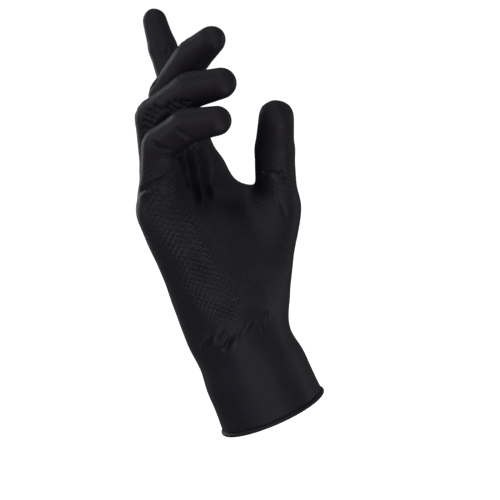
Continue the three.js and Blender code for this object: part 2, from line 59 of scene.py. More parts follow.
# Height, centre x, centre y, half depth, width over depth
SLEEVE = (
    (0, 0, 0, 26.6, 1.12),
    (24, -0.4, 0.4, 25.3, 1.12),
    (46, -0.9, 1, 23.2, 1.12),
    (72, -1.2, 2.8, 17.8, 1.16),
)

# Knuckle, three lengths, splay, three bends, four radii, web reach
FINGERS = (
    ((-32.4, -3.4, 71), (37, 22, 26.6), -5.0, (32.6, 49.5, 20.5), (9.5, 9.3, 9.2, 7.7), 17),
    ((-14.6, 3.7, 79), (44, 30.5, 28.3), -9.0, (25.6, 56.5, 18.5), (10.2, 9.6, 9.7, 8.2), 19),
    ((5.9, 4.3, 85), (47, 29.5, 24.8), -9.0, (22.9, 43.2, 11.3), (10.0, 9.4, 9.5, 7.6), 20),
    ((25, 1, 86), (45, 26.5, 24.6), 11.9, (-4.1, 0.2, 1.8), (9.3, 8.7, 8.1, 6.8), 19),
)

# Length, lean to the thumb side, lean to the palm side, radius at the start
THUMB_ROOT = (21, -11, 10)
THUMB = (
    (46, 17.9, 24.0, 11.0),
    (36, -19.5, 33.2, 11.7),
    (31.8, -28.6, 39.6, 10.8),
)
THUMB_TIP_RADIUS = 9.6

# Corners of the sheet between thumb and palm: two set off from thumb and index, one in the palm
THUMB_WEB_FROM_THUMB = (-3, 3, -9)
THUMB_WEB_FROM_INDEX = (-2, -2, -10)
THUMB_WEB_IN_PALM = (8.0, -4, 34)

# Start, radius there, end, radius there
PALM = (
    ((8, 3, 5), 11.0, (25, 1, 84), 10.8),
    ((3, 4, 5), 11.8, (4, 3, 84), 12.4),
    ((-5, 4.5, 5), 11.8, (-15, 2, 78), 12.2),
    ((-12.5, 3.5, 5), 12.8, (-30.5, -3, 70), 10.5),
    ((-15, -4, 10), 14.0, (-29, -9, 58), 11.0),
    ((11.5, -8, 12), 12.6, (24, -16, 46), 14.0),
    ((-2, -7, 14), 13.0, (-6, -9, 58), 11.5),
    ((6, -9, 20), 12.0, (8, -8, 56), 11.0),
)

# Folds in the upper frame: name, depth (a ridge is negative), width, lip and the points it runs through
FOLDS = (
    ("palm_groove_a", 2.6, 1.5, 0.0, (
        (-5.4, -9.6, 96.0), (-6.0, -10.2, 88.9), (-6.6, -11.0, 81.7), (-9.5, -12.3, 78.4),
        (-15.0, -15.2, 72.3))),
    ("palm_ridge_a", -1.5, 1.4, 0.0, (
        (-1.5, -9.0, 97.0), (-3.8, -10.3, 88.4), (-7.5, -12.3, 77.9), (-13.8, -16.3, 70.2))),
    ("palm_groove_b", 3.6, 1.8, 0.0, (
        (5.0, -9.8, 98.0), (1.6, -10.7, 89.2), (-2.8, -12.4, 79.0), (-14.1, -17.8, 68.4),
        (-19.4, -20.3, 64.6), (-24.2, -21.7, 58.3))),
    ("palm_ridge_b", -1.8, 1.5, 0.0, (
        (8.5, -10.2, 97.0), (4.4, -11.3, 87.7), (-0.4, -13.0, 78.3), (-15.6, -20.4, 65.1),
        (-20.9, -21.6, 55.5))),
    ("palm_groove_c", 3.6, 2.0, 0.0, (
        (16.4, -7.2, 98.4), (12.1, -9.8, 88.1), (6.8, -11.6, 77.2), (-9.6, -20.3, 65.2),
        (-14.0, -21.8, 60.1), (-17.4, -21.7, 52.6))),
    ("palm_ridge_c", -1.5, 1.6, 0.0, (
        (21.4, -7.9, 96.6), (16.1, -10.7, 85.5), (3.0, -16.2, 70.8), (-14.2, -22.0, 54.5))),
    ("palm_line_d", 0.5, 1.3, 0.0, ((-9.7, -20.8, 63.6), (-18.8, -21.8, 48.7))),
    ("thumb_crease", 1.5, 1.1, 0.3, ((16.3, -40.9, 69.6), (16.7, -47.2, 67.3), (20.5, -49.6, 63.7))),
    ("thumb_crease_low", 0.7, 1.4, 0.5, ((16.8, -45.7, 66.8), (22.1, -48.3, 61.5), (25.6, -47.2, 56.6))),
    ("thumb_edge_a", 0.7, 1.3, 0.5, ((18.7, -51.7, 67.1), (24.2, -47.0, 57.7))),
    ("thumb_edge_b", 0.8, 1.4, 0.5, ((22.9, -41.0, 51.6), (24.3, -38.9, 41.4))),
    ("crotch_a", 0.6, 1.3, 0.5, ((19.1, -35.2, 69.2), (16.1, -43.5, 67.7))),
    ("crotch_b", 0.6, 1.3, 0.5, ((21.6, -27.9, 63.4), (17.5, -38.1, 65.8), (16.8, -44.1, 66.4))),
    ("little_root", 1.4, 1.7, 0.5, (
        (-39.4, -2.0, 82.5), (-42.5, -11.2, 83.8), (-39.7, -19.7, 84.9), (-35.1, -23.2, 86.0),
        (-34.2, -24.9, 88.0))),
    ("little_root_low", -0.7, 1.5, 0.0, (
        (-39.9, -1.8, 80.2), (-42.0, -13.5, 82.4), (-38.1, -20.4, 83.6), (-32.6, -22.6, 84.6))),
    ("little_middle", 2.6, 1.0, 0.0, (
        (-44.1, -26.4, 105.0), (-44.1, -29.5, 100.3), (-41.0, -34.4, 96.3))),
    ("little_s", 0.5, 1.3, 0.5, ((-42.0, -11.3, 69.3), (-40.7, -13.0, 73.2), (-38.5, -15.9, 74.5))),
    ("index_fold", 0.8, 1.2, 0.5, ((35.1, -0.7, 154.2), (32.4, 0.9, 150.5))),
    ("middle_root_a", 0.7, 0.9, 0.5, ((-7.7, -11.7, 133.9), (-9.2, -18.1, 134.5))),
    ("middle_root_b", 0.6, 0.9, 0.5, ((-7.6, -14.3, 135.1), (-8.6, -19.9, 136.3))),
    ("little_bend", 2.0, 1.1, 0.0, (
        (-44.8, -43.9, 105.5), (-44.8, -46.0, 102.9), (-43.2, -46.9, 99.5), (-41.0, -48.5, 97.5))),
    ("ring_side_a", 1.8, 1.1, 0.0, ((-29.8, -24.3, 123.1), (-30.6, -27.8, 120.0), (-30.1, -30.7, 117.0))),
    ("ring_side_b", 1.8, 1.1, 0.0, ((-29.8, -19.7, 122.5), (-30.6, -23.3, 119.5), (-29.8, -26.7, 116.0))),
    ("ring_side_c", 1.8, 1.1, 0.0, ((-30.5, -17.5, 120.6), (-30.5, -20.4, 117.5), (-29.3, -23.1, 114.6))),
    ("ring_side_d", 1.8, 1.1, 0.0, ((-30.6, -16.2, 118.3), (-30.1, -17.7, 115.2), (-28.9, -20.2, 112.9))),
    ("ring_side_e", 1.3, 1.0, 0.0, ((-30.3, -14.3, 115.2), (-29.7, -14.8, 113.2), (-28.9, -16.2, 111.5))),
    ("ring_bend_a", 2.0, 1.1, 0.0, ((-30.7, -34.8, 121.4), (-29.6, -36.7, 116.4), (-27.6, -38.6, 113.5))),
    ("ring_bend_b", 1.8, 1.1, 0.0, ((-30.9, -39.5, 121.0), (-29.6, -41.4, 116.7), (-27.2, -43.6, 114.2))),
    ("ring_bend_c", 1.5, 1.1, 0.0, ((-30.9, -43.3, 119.0), (-29.5, -44.9, 116.7), (-28.4, -48.3, 115.4))),
    ("ring_bend_d", 1.5, 1.1, 0.0, ((-30.6, -32.8, 119.7), (-29.8, -33.5, 116.7), (-28.2, -34.8, 114.2))),
    ("wrist_ridge_a", -1.4, 1.1, 0.0, ((-30.0, 7.7, -7.1), (-31.8, 0.7, -3.0), (-32.0, -5.7, 1.8))),
    ("wrist_groove_a", 1.5, 1.1, 0.0, ((-30.1, 5.9, -8.2), (-31.5, -0.4, -4.5), (-31.6, -6.0, -0.5))),
    ("wrist_groove_b", 1.5, 1.1, 0.0, ((-30.6, -2.6, -7.4), (-29.9, -8.8, -3.1), (-28.2, -13.6, 1.0))),
    ("wrist_ridge_b", -1.4, 1.1, 0.0, ((-29.5, -1.4, -11.5), (-28.8, -8.6, -6.6), (-26.2, -15.5, -1.0))),
    ("wrist_groove_c", 1.5, 1.1, 0.0, ((-28.7, -4.6, -12.4), (-27.4, -9.2, -8.8), (-25.6, -15.3, -3.8))),
    ("wrist_ridge_c", -1.4, 1.1, 0.0, (
        (-27.4, -6.9, -12.7), (-24.6, -14.7, -7.0), (-20.6, -19.9, -1.5), (-15.8, -22.8, 2.5))),
    ("wrist_groove_d", 1.5, 1.1, 0.0, ((-25.0, -12.6, -9.9), (-22.4, -17.8, -5.4), (-15.7, -22.7, 0.3))),
    ("wrist_ridge_d", -1.4, 1.1, 0.0, ((-23.6, -16.4, -6.7), (-19.1, -20.4, -3.2), (-13.0, -23.4, -0.1))),
    ("wrist_groove_e", 1.5, 1.1, 0.0, ((-21.3, -18.0, -8.3), (-16.3, -21.6, -4.3), (-11.1, -23.5, -1.2))),
    ("wrist_ridge_e", -1.4, 1.1, 0.0, ((-9.3, -22.6, -6.5), (-5.9, -23.9, -3.4), (-1.9, -25.0, 0.4))),
    ("wrist_groove_f", 1.5, 1.1, 0.0, ((-12.3, -21.4, -9.9), (-8.9, -22.6, -7.0), (-5.5, -23.6, -5.1))),
)
FOLD_TAPERS = {"palm": (0.05, 0.5), "wrist": (0.45, 0.45)}
USUAL_TAPER = (0.22, 0.22)
FOLD_FALL = 0.85
FOLD_REACH_WIDTHS = 4
FOLD_POINT_SPACING = 0.8
FOLD_LEAST_POINTS = 4

# Creases on the palm side of each finger joint: place and share of the depth of each of the three
CREASES = ((-1, 0.5), (0, 1.0), (1, 0.6))
CREASE_DEPTH = 0.7
CREASE_WIDTH = 1.5
CREASE_SPACING = 3.2
CREASE_LIP = 0.5
CREASE_LEVEL = 0.95
CREASE_HALF = 0.75
CREASE_NARROWING = 0.2

# How near to a digit's form a point belongs to that digit, and how far past its root
SHARE_REACH = 1.6
FOLD_SHARE_REACH = 4.0
SHARE_PAST_ROOT = 0.5
SHARE_PAST_JOINT = 0.02

# Mesh steps
RIM_MARGIN = 0.02
SLOPE_STEP = 0.05
LEAST_SLOPE = 0.3
SURFACE_STEPS = 3
RELAX = 0.5
SETTLE_PASSES = 4
SETTLE_SURFACE_STEPS = 2
SOFTEN_PASSES = 8
REFINE_SPREAD = 1.5
REFINE_ABOVE = 0.12
NORMAL_PASSES = 3

# Slow waves: height, length and seed
CUFF_WAVE = (0.16, 15, 3)
BODY_WAVE = (0.10, 22, 5)
WAVE_COUNT = 10
WAVE_LENGTHS = (0.7, 1.4)
CUFF_WAVE_SQUEEZE = (1, 1, 0.7)
CUFF_WAVE_START = (4, 12)
CUFF_TO_BODY = (-14, 6)
RIM_FADE = 4

# Bead section in degrees: neck depth, the arc from its start over its sweep, and its waves
BEAD_NECK = 0.28
BEAD_NECK_SHARES = (0.4, 0.75)
BEAD_ARC_START = 105
BEAD_ARC_SWEEP = 255
# Share of the radius, waves in one round, shift
BEAD_WAVES = ((0.04, 7, 1), (0.03, 13, 2), (0.02, 29, 0))

# Grip pattern: the cells' height and how many go round the palm and a digit
GRIP_PITCH = 2.4
PALM_CELLS_ROUND = 78
DIGIT_CELLS_ROUND = 24
# The axis that the palm's cells go round, and where the pattern starts and ends
GRIP_AXIS = (-3, -2)
GRIP_START = (-4, 10)
GRIP_END = (0.42, 0.62)
# The pattern stands up most near this line and is fainter elsewhere
GRIP_BAND = (
    (-36.9, -19.8, 80.4), (-36.1, -16.9, 70.6), (-38.9, -17.3, 55.9), (-36.1, -15.0, 39.0),
    (-32.1, -14.5, 24.6), (-26.2, -18.0, 15.1), (-16.0, -22.8, 11.5))
GRIP_BAND_NEAR = 7
GRIP_BAND_FAR = 17
GRIP_FAINT = 0.3

# Film colours
FILM_DARK = (0.0180, 0.0158, 0.0245, 1)
FILM_LIGHT = (0.0240, 0.0210, 0.0325, 1)
FILM_ON_DIGITS = (0.0300, 0.0220, 0.0300, 1)
DIGIT_TINT = 0.2

# Film noises: scale for each metre, detail, roughness
CLOUDY = (38.0, 4, 0.55)
PATCHY = (60.0, 2, 0.5)
PORES = (1500.0, 2, 0.6)
SLACK = (160.0, 3, 0.55)
DULL = (90.0, 3, 0.6)

# Film bumps: strength, height in metres
GRIP_BUMP = (1.0, 0.0005)
PORES_BUMP = (0.25, 0.00006)
SLACK_BUMP = (0.35, 0.0005)

# Ridges of the grip pattern: slope from the cell's edge, and the cells' size and unevenness
RIDGE_FALL = -4.5
CELL_SCALE = 1.05
CELL_UNEVENNESS = 0.2
PATCHY_GAIN = 1.8
PATCHY_SHIFT = -0.3

# Film gloss: roughness, what the noise adds and what a ridge takes off
FILM_ROUGHNESS = 0.42
DULL_GAIN = 0.14
RIDGE_POLISH = -0.16
FILM_SPECULAR = 0.25

# Camera at the photograph's viewing angle, in degrees and metres
CAMERA_AZIMUTH = -52.8
CAMERA_ELEVATION = 10
CAMERA_ROLL = -22.1
CAMERA_DISTANCE = 1.1
CAMERA_LENS = 145.8
CAMERA_SENSOR = 36
CAMERA_CLIP_END = 50
CAMERA_TARGET_HEIGHT = 0.0552
CAMERA_AIM_RIGHT = 0.00749
CAMERA_AIM_UP = 0.0383

# Lights: name, direction in the picture's own right, up and towards-the-viewer axes,
# distance, size and watts
LIGHTS = (
    ("front", (-0.15, 0.35, 1.0), 1.5, (2.2, 2.2), 6.5),
    ("front_low", (0.35, -0.55, 0.85), 1.3, (0.9, 0.9), 1.7),
    ("front_left", (-1.0, 0.2, 0.2), 1.0, (0.14, 0.8), 1.2),
    ("front_right", (0.5, 0.0, 0.8), 1.2, (0.3, 0.8), 0.6),
    ("overhead", (-0.2, 1.0, 0.1), 1.1, (0.8, 0.5), 0.8),
    ("left_behind", (-0.8, 0.35, -0.9), 0.9, (0.2, 0.8), 1.2),
    ("right_behind", (1.0, 0.1, -0.3), 1.0, (0.25, 0.8), 0.8),
    ("below", (0.5, -0.8, 0.4), 0.8, (0.8, 0.15), 1.4),
)
LIGHT_TARGET_HEIGHT = 0.11

# Stage: the floor's half width and level in metres, its greys, and the white and fill levels
FLOOR_HALF = 6.0
FLOOR_LEVEL = -0.16
FLOOR_DARK = (0.6, 0.6, 0.6, 1)
FLOOR_LIGHT = (0.66, 0.66, 0.66, 1)
FLOOR_SPECK = (6.0, 2, 0.5)
FLOOR_ROUGHNESS = 0.9
FLOOR_SPECULAR = 0.1
WHITE_LEVEL = 1.06
FILL_LEVEL = 0.13


# Frames
def turn(axis, angle):
    return np.array(Matrix.Rotation(angle, 3, Vector(axis)))


lean_toward = math.radians(WRIST_LEAN_TOWARD)
LEAN = turn((-math.sin(lean_toward), math.cos(lean_toward), 0), math.radians(WRIST_LEAN))
WRIST = np.array((0, 0, CUFF_LENGTH))


def to_upper(points):
    return (points - WRIST) @ LEAN


def to_part(points):
    return points @ LEAN.T + WRIST


def unit(vector):
    return vector / np.linalg.norm(vector, axis=-1, keepdims=True)


# Distances to the forms, negative inside
def smooth_min(a, b, softness):
    reach = np.maximum(softness - np.abs(a - b), 0) / softness
    return np.minimum(a, b) - reach * reach * softness * 0.25


def along(points, start, end, lowest=0.0):
    axis = end - start
    share = np.clip((points - start) @ axis / (axis @ axis), lowest, 1)
    away = points - start - share[:, None] * axis
    return share, np.sqrt(np.einsum("ij,ij->i", away, away))


def rod(points, start, end, first, last, lowest=0.0):
    share, away = along(points, np.array(start, float), np.array(end, float), lowest)
    return away - (first + (last - first) * share)


def finger_joints(row):
    root, lengths, splay, bends = row[:4]
    side = np.array((math.cos(math.radians(splay)), 0, -math.sin(math.radians(splay))))
    forward = np.array((math.sin(math.radians(splay)), 0, math.cos(math.radians(splay))))
    joints = [np.array(root, float)]
    bent = 0.0
    for length, bend in zip(lengths, bends):
        bent += math.radians(bend)
        heading = forward * math.cos(bent) + np.array((0, -math.sin(bent), 0))
        joints.append(joints[-1] + heading * length)
    return joints, side


def thumb_joints():
    joints = [np.array(THUMB_ROOT, float)]
    for length, out, palm, _ in THUMB:
        out = math.radians(out)
        palm = math.radians(palm)
        level = math.cos(palm)
        heading = np.array((math.sin(out) * level, -math.sin(palm), math.cos(out) * level))
        joints.append(joints[-1] + heading * length)
    return joints


CHAINS = []
for finger_row in FINGERS:
    finger_points, finger_side = finger_joints(finger_row)
    CHAINS.append((finger_points, finger_side, finger_row[4], finger_row[5]))
THUMB_POINTS = thumb_joints()
thumb_heading = unit(THUMB_POINTS[2] - THUMB_POINTS[1])
thumb_away = THUMB_POINTS[1] - CHAINS[3][0][0]
thumb_side = unit(thumb_away - thumb_heading * (thumb_away @ thumb_heading))
CHAINS.append((THUMB_POINTS[1:], thumb_side, (THUMB[1][3], THUMB[2][3], THUMB_TIP_RADIUS), THUMB_LOOP))
THUMB_WEB = (
    THUMB_POINTS[1] + np.array(THUMB_WEB_FROM_THUMB),
    CHAINS[3][0][0] + np.array(THUMB_WEB_FROM_INDEX),
    np.array(THUMB_WEB_IN_PALM),
)


def chain_distance(points, joints, radii):
    distance = None
    for i in range(len(joints) - 1):
        end = joints[i + 1]
        if i + 2 == len(joints):
            end = end - unit(joints[i + 1] - joints[i]) * radii[i + 1]
        piece = rod(points, joints[i], end, radii[i], radii[i + 1])
        distance = piece if distance is None else smooth_min(distance, piece, JOINT_BLEND)
    return distance


def sheet_distance(points, corners, radius):
    normal = np.cross(corners[1] - corners[0], corners[2] - corners[0])
    nearest = np.full(len(points), np.inf)
    inside = np.ones(len(points), bool)
    for i in range(3):
        start, end = corners[i], corners[(i + 1) % 3]
        inside &= (points - start) @ np.cross(end - start, normal) < 0
        nearest = np.minimum(nearest, along(points, start, end)[1])
    height = np.abs((points - corners[0]) @ normal) / np.linalg.norm(normal)
    return np.where(inside, height, nearest) - radius


def palm_distance(points):
    distance = None
    for start, first, end, last in PALM:
        piece = rod(points, start, end, first, last)
        distance = piece if distance is None else smooth_min(distance, piece, PALM_BLEND)
    for k in range(3):
        ends = [c[0][0] + unit(c[0][1] - c[0][0]) * WEB_BAR_REACH for c in CHAINS[k:k + 2]]
        bar = rod(points, ends[0], ends[1], WEB_BAR_RADIUS, WEB_BAR_RADIUS)
        distance = smooth_min(distance, bar, WEB_BLEND)
    ball = rod(points, THUMB_POINTS[0], THUMB_POINTS[1], THUMB[0][3], THUMB[1][3])
    distance = smooth_min(distance, ball, PALM_BLEND)
    return smooth_min(distance, sheet_distance(points, THUMB_WEB, THUMB_WEB_RADIUS), PALM_BLEND)


def sleeve_distance(points):
    distance = None
    for i in range(len(SLEEVE) - 1):
        low, high = SLEEVE[i], SLEEVE[i + 1]
        squeezed = points / np.array((low[4], 1, 1))
        start = (low[1] / low[4], low[2], low[0])
        end = (high[1] / low[4], high[2], high[0])
        piece = rod(squeezed, start, end, low[3], high[3], -1.0 if i == 0 else 0.0)
        distance = piece if distance is None else smooth_min(distance, piece, JOINT_BLEND)
    return distance


def glove_distance(points, own):
    upper = to_upper(points)
    palm = palm_distance(upper)
    sleeve = sleeve_distance(points)
    every = None
    total = np.zeros(len(points))
    for k, (joints, side, radii, reach) in enumerate(CHAINS):
        joined = smooth_min(palm, chain_distance(upper, joints, radii), ROOT_BLEND)
        whole = smooth_min(joined, sleeve, CUFF_BLEND)
        every = whole if every is None else smooth_min(every, whole, WEB_BLEND)
        total += own[:, k] * whole
    return total + (1 - own.sum(1)) * every


# Mesh steps
def vertex_normals(points, faces):
    corners = points[faces]
    flat = np.cross(corners[:, 1] - corners[:, 0], corners[:, 2] - corners[:, 0])
    normals = np.zeros_like(points)
    for k in range(3):
        np.add.at(normals, faces[:, k], flat)
    return unit(normals)


def edges_of(faces):
    edges = np.sort(np.concatenate((faces[:, [0, 1]], faces[:, [1, 2]], faces[:, [2, 0]])), axis=1)
    return np.unique(edges, axis=0, return_inverse=True)


def subdivide(points, faces, own):
    edges, inverse = edges_of(faces)
    inverse = np.asarray(inverse).reshape(-1)
    count = len(faces)
    middle = len(points) + inverse
    ab, bc, ca = middle[:count], middle[count:2 * count], middle[2 * count:]
    a, b, c = faces.T
    points = np.concatenate((points, points[edges].mean(1)))
    own = np.concatenate((own, own[edges].mean(1)))
    parts = ((a, ab, ca), (ab, b, bc), (ca, bc, c), (ab, bc, ca))
    faces = np.concatenate([np.stack(part, 1) for part in parts])
    return points, faces, own


def rim_of(faces):
    edges, counts = np.unique(
        np.sort(np.concatenate((faces[:, [0, 1]], faces[:, [1, 2]], faces[:, [2, 0]])), axis=1),
        axis=0, return_counts=True)
    return np.unique(edges[counts == 1])


def neighbour_mean(values, edges):
    sums = np.zeros_like(values)
    counts = np.zeros(len(values))
    np.add.at(sums, edges[:, 0], values[edges[:, 1]])
    np.add.at(sums, edges[:, 1], values[edges[:, 0]])
    np.add.at(counts, edges[:, 0], 1)
    np.add.at(counts, edges[:, 1], 1)
    return sums / counts[:, None]


def settle(points, faces, own, passes):
    rim = rim_of(faces)
    edges = edges_of(faces)[0]
    for step in range(passes):
        normals = vertex_normals(points, faces)
        shift = neighbour_mean(points, edges) - points
        shift -= normals * np.einsum("ij,ij->i", shift, normals)[:, None]
        shift[rim] = 0
        points = points + shift * RELAX
        normals[rim, 2] = 0
        for surface_step in range(SETTLE_SURFACE_STEPS):
            points = points - normals * glove_distance(points, own)[:, None]
    return points


# The CAD node's outer face, its bead faces taken off
def outer_patch(mesh):
    points = np.array([v.co for v in mesh.vertices], float) * 1000
    faces = np.array([p.vertices[:] for p in mesh.polygons], int)
    _, index, inverse = np.unique(np.round(points, 3), axis=0, return_index=True, return_inverse=True)
    points = points[index]
    faces = np.asarray(inverse).reshape(-1)[faces]
    faces = faces[(points[faces][:, :, 2] > RIM_HEIGHT - RIM_MARGIN).all(1)]
    label = np.arange(len(points))
    edges = edges_of(faces)[0]
    while True:
        before = label.copy()
        low = np.minimum(label[edges[:, 0]], label[edges[:, 1]])
        np.minimum.at(label, edges[:, 0], low)
        np.minimum.at(label, edges[:, 1], low)
        label = label[label]
        if (label == before).all():
            break
    best = None
    for part in np.unique(label[faces[:, 0]]):
        chosen = faces[label[faces[:, 0]] == part]
        reach = points[np.unique(chosen)]
        span = (reach.max(0) - reach.min(0)).sum()
        if best is None or span > best[0]:
            best = (span, chosen)
    used, inverse = np.unique(best[1], return_inverse=True)
    return points[used], np.asarray(inverse).reshape(-1, 3)


def digit_shares(points, within):
    upper = to_upper(points)
    distances = np.stack([chain_distance(upper, c[0], c[2]) for c in CHAINS], 1)
    nearest = distances.argmin(1)
    own = np.zeros((len(points), len(CHAINS)))
    for k, (joints, side, radii, reach) in enumerate(CHAINS):
        height = (upper - joints[0]) @ unit(joints[1] - joints[0])
        past = along(upper, joints[1], joints[-1])[0] > SHARE_PAST_JOINT
        past |= height > reach + SHARE_PAST_ROOT
        mine = (nearest == k) & past & (np.abs(distances[:, k]) < within)
        own[mine, k] = 1
    return own


# Soften the joins between the forms, as a stretched film bridges them.
def soften(points, faces, passes):
    rim = rim_of(faces)
    edges = edges_of(faces)[0]
    for step in range(passes):
        shift = neighbour_mean(points, edges) - points
        shift[rim] = 0
        points = points + shift * RELAX
    return points


# Split every edge that both ends mark, and close the triangles beside them.
def refine(points, faces, own, marked):
    edges, inverse = edges_of(faces)
    inverse = np.asarray(inverse).reshape(-1)
    split = marked[edges].all(1)
    middle = np.full(len(edges), -1)
    middle[split] = len(points) + np.arange(split.sum())
    count = len(faces)
    sides = middle[inverse].reshape(3, count).T
    whole = (sides < 0).all(1)
    made = []
    for (a, b, c), (ab, bc, ca) in zip(faces[~whole].tolist(), sides[~whole].tolist()):
        while (ab < 0) or (bc < 0 and ca >= 0):
            a, b, c, ab, bc, ca = b, c, a, bc, ca, ab
        if bc < 0:
            made += [(a, ab, c), (ab, b, c)]
        elif ca < 0:
            made += [(ab, b, bc), (a, ab, bc), (a, bc, c)]
        else:
            made += [(a, ab, ca), (ab, b, bc), (ca, bc, c), (ab, bc, ca)]
    points = np.concatenate((points, points[edges[split]].mean(1)))
    own = np.concatenate((own, own[edges[split]].mean(1)))
    return points, np.concatenate((faces[whole], np.array(made, int))), own


# Fold lines are laid on the film: close points, each one moved onto the surface.
def lay_on_film(line):
    line = np.array(line, float)
    lengths = np.linalg.norm(line[1:] - line[:-1], axis=1)
    reach = np.concatenate(((0,), np.cumsum(lengths)))
    places = np.linspace(0, reach[-1], max(int(reach[-1] / FOLD_POINT_SPACING), FOLD_LEAST_POINTS))
    smooth = np.stack([np.interp(places, reach, line[:, k]) for k in range(3)], 1)
    for step in range(2 * (len(line) > 2)):
        smooth[1:-1] = (smooth[:-2] + 2 * smooth[1:-1] + smooth[2:]) / 4
    laid = to_part(smooth)
    owner = digit_shares(laid, FOLD_SHARE_REACH)
    for step in range(SURFACE_STEPS):
        value = glove_distance(laid, owner)
        slope = np.zeros_like(laid)
        for k in range(3):
            nudge = np.zeros(3)
            nudge[k] = SLOPE_STEP
            slope[:, k] = (glove_distance(laid + nudge, owner) - value) / SLOPE_STEP
        laid = laid - slope * (value / np.maximum((slope * slope).sum(1), LEAST_SLOPE))[:, None]
    return laid


# Folds press the film in or raise it; a lip stands on each side of a crease.
def press_fold(press, points, laid, depth, width, lip, taper):
    reach = FOLD_REACH_WIDTHS * width
    close = ((points > laid.min(0) - reach) & (points < laid.max(0) + reach)).all(1)
    index = np.flatnonzero(close)
    nearest = np.full(len(index), np.inf)
    place = np.zeros(len(index))
    for k in range(len(laid) - 1):
        share, away = along(points[index], laid[k], laid[k + 1])
        closer = away < nearest
        nearest = np.where(closer, away, nearest)
        place = np.where(closer, (k + share) / (len(laid) - 1), place)
    near = (nearest / width) ** 2
    fade = ramp(place, 0, taper[0]) * ramp(1 - place, 0, taper[1])
    press[index] += depth * fade * (1 - lip * near) * np.exp(-FOLD_FALL * near)


def ramp(values, low, high):
    share = np.clip((values - low) / (high - low), 0, 1)
    return share * share * (3 - 2 * share)


LAID = []
for name, depth, width, lip, line in FOLDS:
    taper = FOLD_TAPERS.get(name.split("_")[0], USUAL_TAPER)
    LAID.append((lay_on_film(line), depth, width, lip, taper))

for joints, side, radii, reach in CHAINS[:4]:
    for i in (1, 2):
        before = unit(joints[i] - joints[i - 1])
        after = unit(joints[i + 1] - joints[i])
        heading = unit(before + after)
        palm_side = -unit(np.cross(side, heading))
        for step, depth in CREASES:
            middle = joints[i] + palm_side * radii[i] * CREASE_LEVEL + heading * step * CREASE_SPACING
            half = side * radii[i] * (CREASE_HALF - CREASE_NARROWING * abs(step))
            laid = lay_on_film((middle - half, middle + half))
            LAID.append((laid, CREASE_DEPTH * depth, CREASE_WIDTH, CREASE_LIP, USUAL_TAPER))

points, faces = outer_patch(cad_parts["glove"].data)
own = digit_shares(points, SHARE_REACH)
points, faces, own = subdivide(points, faces, own)
points = settle(points, faces, own, SETTLE_PASSES)
inner_faces = faces
inner_count = len(points)
points, faces, own = subdivide(points, faces, own)
points = settle(points, faces, own, SETTLE_PASSES)
points = soften(points, faces, SOFTEN_PASSES)
marked = np.zeros(len(points), bool)
for laid, depth, width, lip, taper in LAID:
    amount = np.zeros(len(points))
    press_fold(amount, points, laid, 1.0, width * REFINE_SPREAD, 0.0, taper)
    marked |= amount > REFINE_ABOVE
marked[rim_of(faces)] = False
points, faces, own = refine(points, faces, own, marked)
normals = vertex_normals(points, faces)
rim = rim_of(faces)
upper = to_upper(points)
edges = edges_of(faces)[0]

press = np.zeros(len(points))
for laid, depth, width, lip, taper in LAID:
    press_fold(press, points, laid, depth, width, lip, taper)


# Slow waves in the film: sums of a few fixed sine waves
def waves(points, seed, length):
    random = np.random.default_rng(seed)
    total = np.zeros(len(points))
    for k in range(WAVE_COUNT):
        direction = unit(random.normal(size=3))
        size = length * random.uniform(*WAVE_LENGTHS)
        total += np.sin(points @ direction * (2 * math.pi / size) + random.uniform(0, 6.28))
    return total / math.sqrt(WAVE_COUNT)


cuff_share = 1 - ramp(upper[:, 2], *CUFF_TO_BODY)
height, length, seed = CUFF_WAVE
cuff_waves = height * waves(points * np.array(CUFF_WAVE_SQUEEZE), seed, length)
press += cuff_waves * cuff_share * ramp(points[:, 2], *CUFF_WAVE_START)
height, length, seed = BODY_WAVE
press += height * waves(points, seed, length) * (1 - cuff_share)
rim_fade = ramp(points[:, 2], RIM_HEIGHT, RIM_HEIGHT + RIM_FADE)
outer = points - normals * (press * rim_fade)[:, None]

# Inner face, one wall further in along smoothed normals
smooth_normals = vertex_normals(outer, faces)
for step in range(NORMAL_PASSES):
    smooth_normals = unit(smooth_normals + neighbour_mean(smooth_normals, edges))
smooth_normals[rim, 2] = 0
smooth_normals = unit(smooth_normals)
inner = (outer - smooth_normals * WALL)[:inner_count]
inner_rim = rim_of(inner_faces)

# Rolled bead from the outer rim round to the inner rim
centre = outer[rim].mean(0)
angle = np.arctan2(outer[rim, 1] - centre[1], outer[rim, 0] - centre[0])
rim = rim[np.argsort(angle)]
angle = np.sort(angle)
inner_angle = np.arctan2(inner[inner_rim, 1] - centre[1], inner[inner_rim, 0] - centre[0])
inner_rim = inner_rim[np.argsort(inner_angle)]
outward = smooth_normals[rim]
count = len(rim)
fullness = np.ones(count)
for height, times, shift in BEAD_WAVES:
    fullness += height * np.sin(times * angle + shift)
radius = BEAD_RADIUS * fullness
rings = []
for share in BEAD_NECK_SHARES:
    ring = outer[rim] - outward * (BEAD_NECK * share / BEAD_NECK_SHARES[-1])
    ring[:, 2] = RIM_HEIGHT - (RIM_HEIGHT - 2 * BEAD_RADIUS) * share
    rings.append(ring)
for i in range(BEAD_STEPS + 1):
    turned = math.radians(BEAD_ARC_START - BEAD_ARC_SWEEP * i / BEAD_STEPS)
    ring = outer[rim] + outward * (radius * math.cos(turned) - BEAD_STAND_OFF)[:, None]
    ring[:, 2] = BEAD_RADIUS + BEAD_RADIUS * math.sin(turned)
    rings.append(ring)
base = len(points)
ring_base = base + inner_count
vertices = np.concatenate([outer, inner] + rings)
loops = [rim] + [ring_base + i * count + np.arange(count) for i in range(len(rings))]
bead_faces = []
for here, below in zip(loops[:-1], loops[1:]):
    after = np.roll(here, -1)
    after_below = np.roll(below, -1)
    bead_faces.append(np.stack((here, below, after_below), 1))
    bead_faces.append(np.stack((here, after_below, after), 1))
last = loops[-1]
